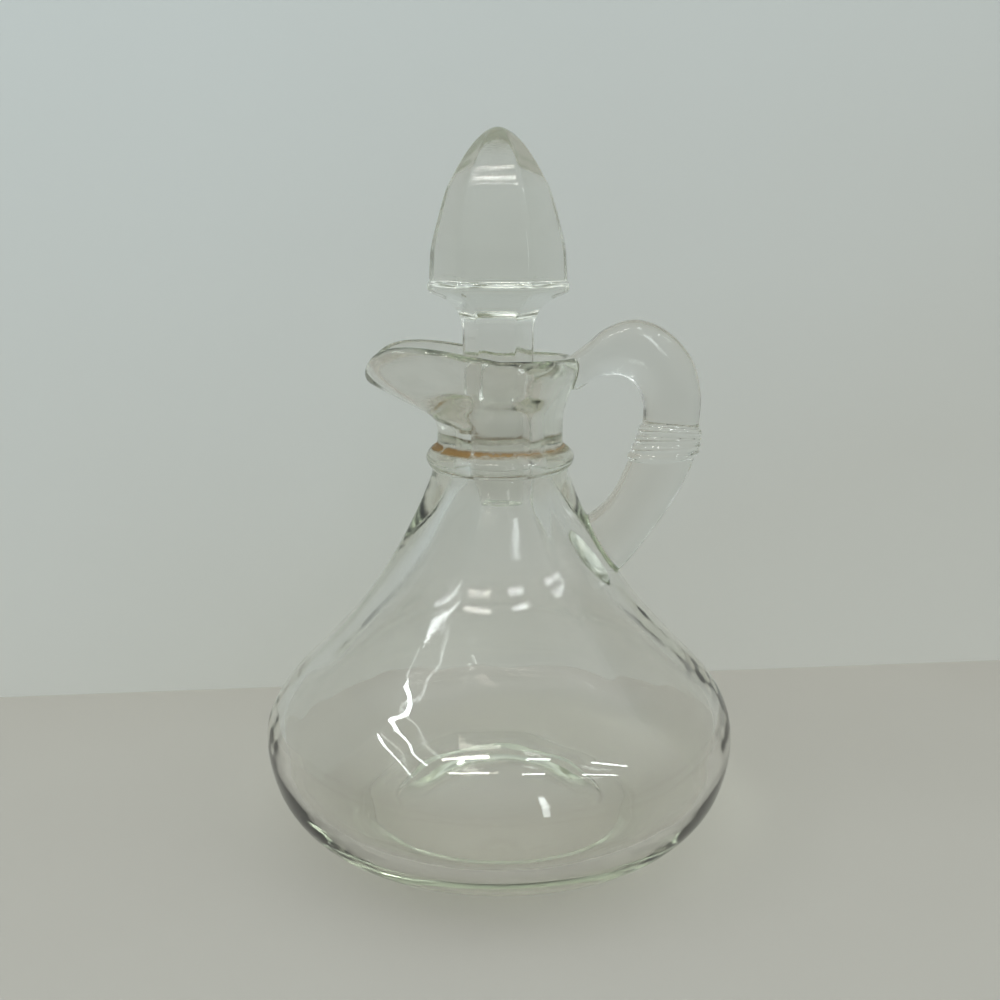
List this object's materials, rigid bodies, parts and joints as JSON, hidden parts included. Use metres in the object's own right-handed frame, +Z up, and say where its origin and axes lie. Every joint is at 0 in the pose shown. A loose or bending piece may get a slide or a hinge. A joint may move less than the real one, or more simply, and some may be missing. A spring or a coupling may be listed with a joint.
{
  "type": "glass cruet",
  "caption": "Clear pressed-glass oil or vinegar cruet: squat panelled bottle with foot, neck ring, pouring lip and ear handle, with a loose pointed glass stopper.",
  "frame": {"origin": "centre of the foot ring, in the plane that it stands on", "axes": "+Z up along the bottle's axis, -X towards the pouring lip, +X towards the handle"},
  "size_m": [0.1078, 0.1066, 0.1572],
  "materials": {
    "bottle_glass": "polished pressed glass, slight grey-green tint",
    "stopper_glass": "polished pressed glass, slight grey-green tint"
  },
  "bodies": {
    "root": {"cruet_bottle": "bottle_glass", "stopper": "stopper_glass"}
  },
  "joints": []
}
